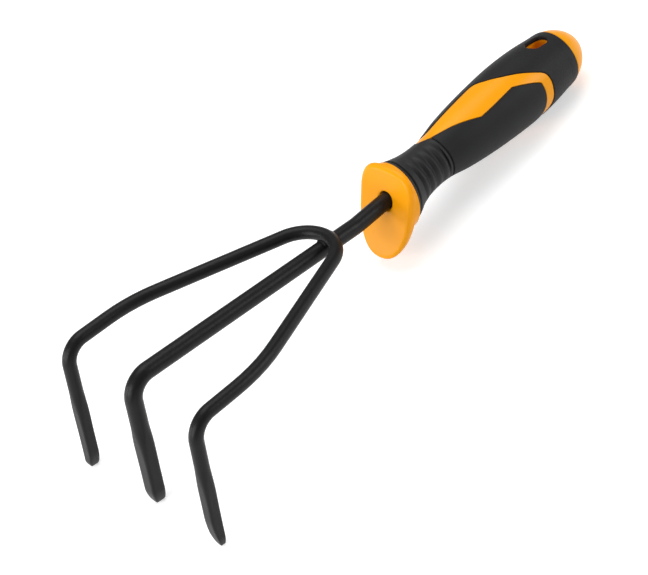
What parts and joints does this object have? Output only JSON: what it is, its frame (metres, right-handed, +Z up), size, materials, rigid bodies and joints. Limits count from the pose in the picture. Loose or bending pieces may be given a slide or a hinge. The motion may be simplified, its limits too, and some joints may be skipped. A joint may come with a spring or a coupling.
{
  "type": "hand cultivator",
  "caption": "Hand cultivator: bent steel tines welded to a bar, with a hand guard, a two-colour moulded grip and a hang slot in its butt.",
  "frame": {"origin": "middle of the bounding box, on the surface that the tool lies on with its tine tips and the underside of its grip", "axes": "+X from the tines towards the butt of the handle, +Y to the left seen from the butt, +Z up; the tines point down"},
  "size_m": [0.3274, 0.0974, 0.0693],
  "materials": {
    "coated_steel": "black powder coat, satin",
    "orange_plastic": "semi-gloss moulded polypropylene",
    "black_grip": "matte moulded thermoplastic rubber"
  },
  "bodies": {
    "root": {"centre_tine_bar": "coated_steel", "outer_tine_rod": "coated_steel", "weld_bead_front": "coated_steel", "weld_bead_rear": "coated_steel", "handle_core": "orange_plastic", "neck_sleeve": "black_grip", "side_pad": "black_grip", "crown_grip": "black_grip"}
  },
  "joints": []
}
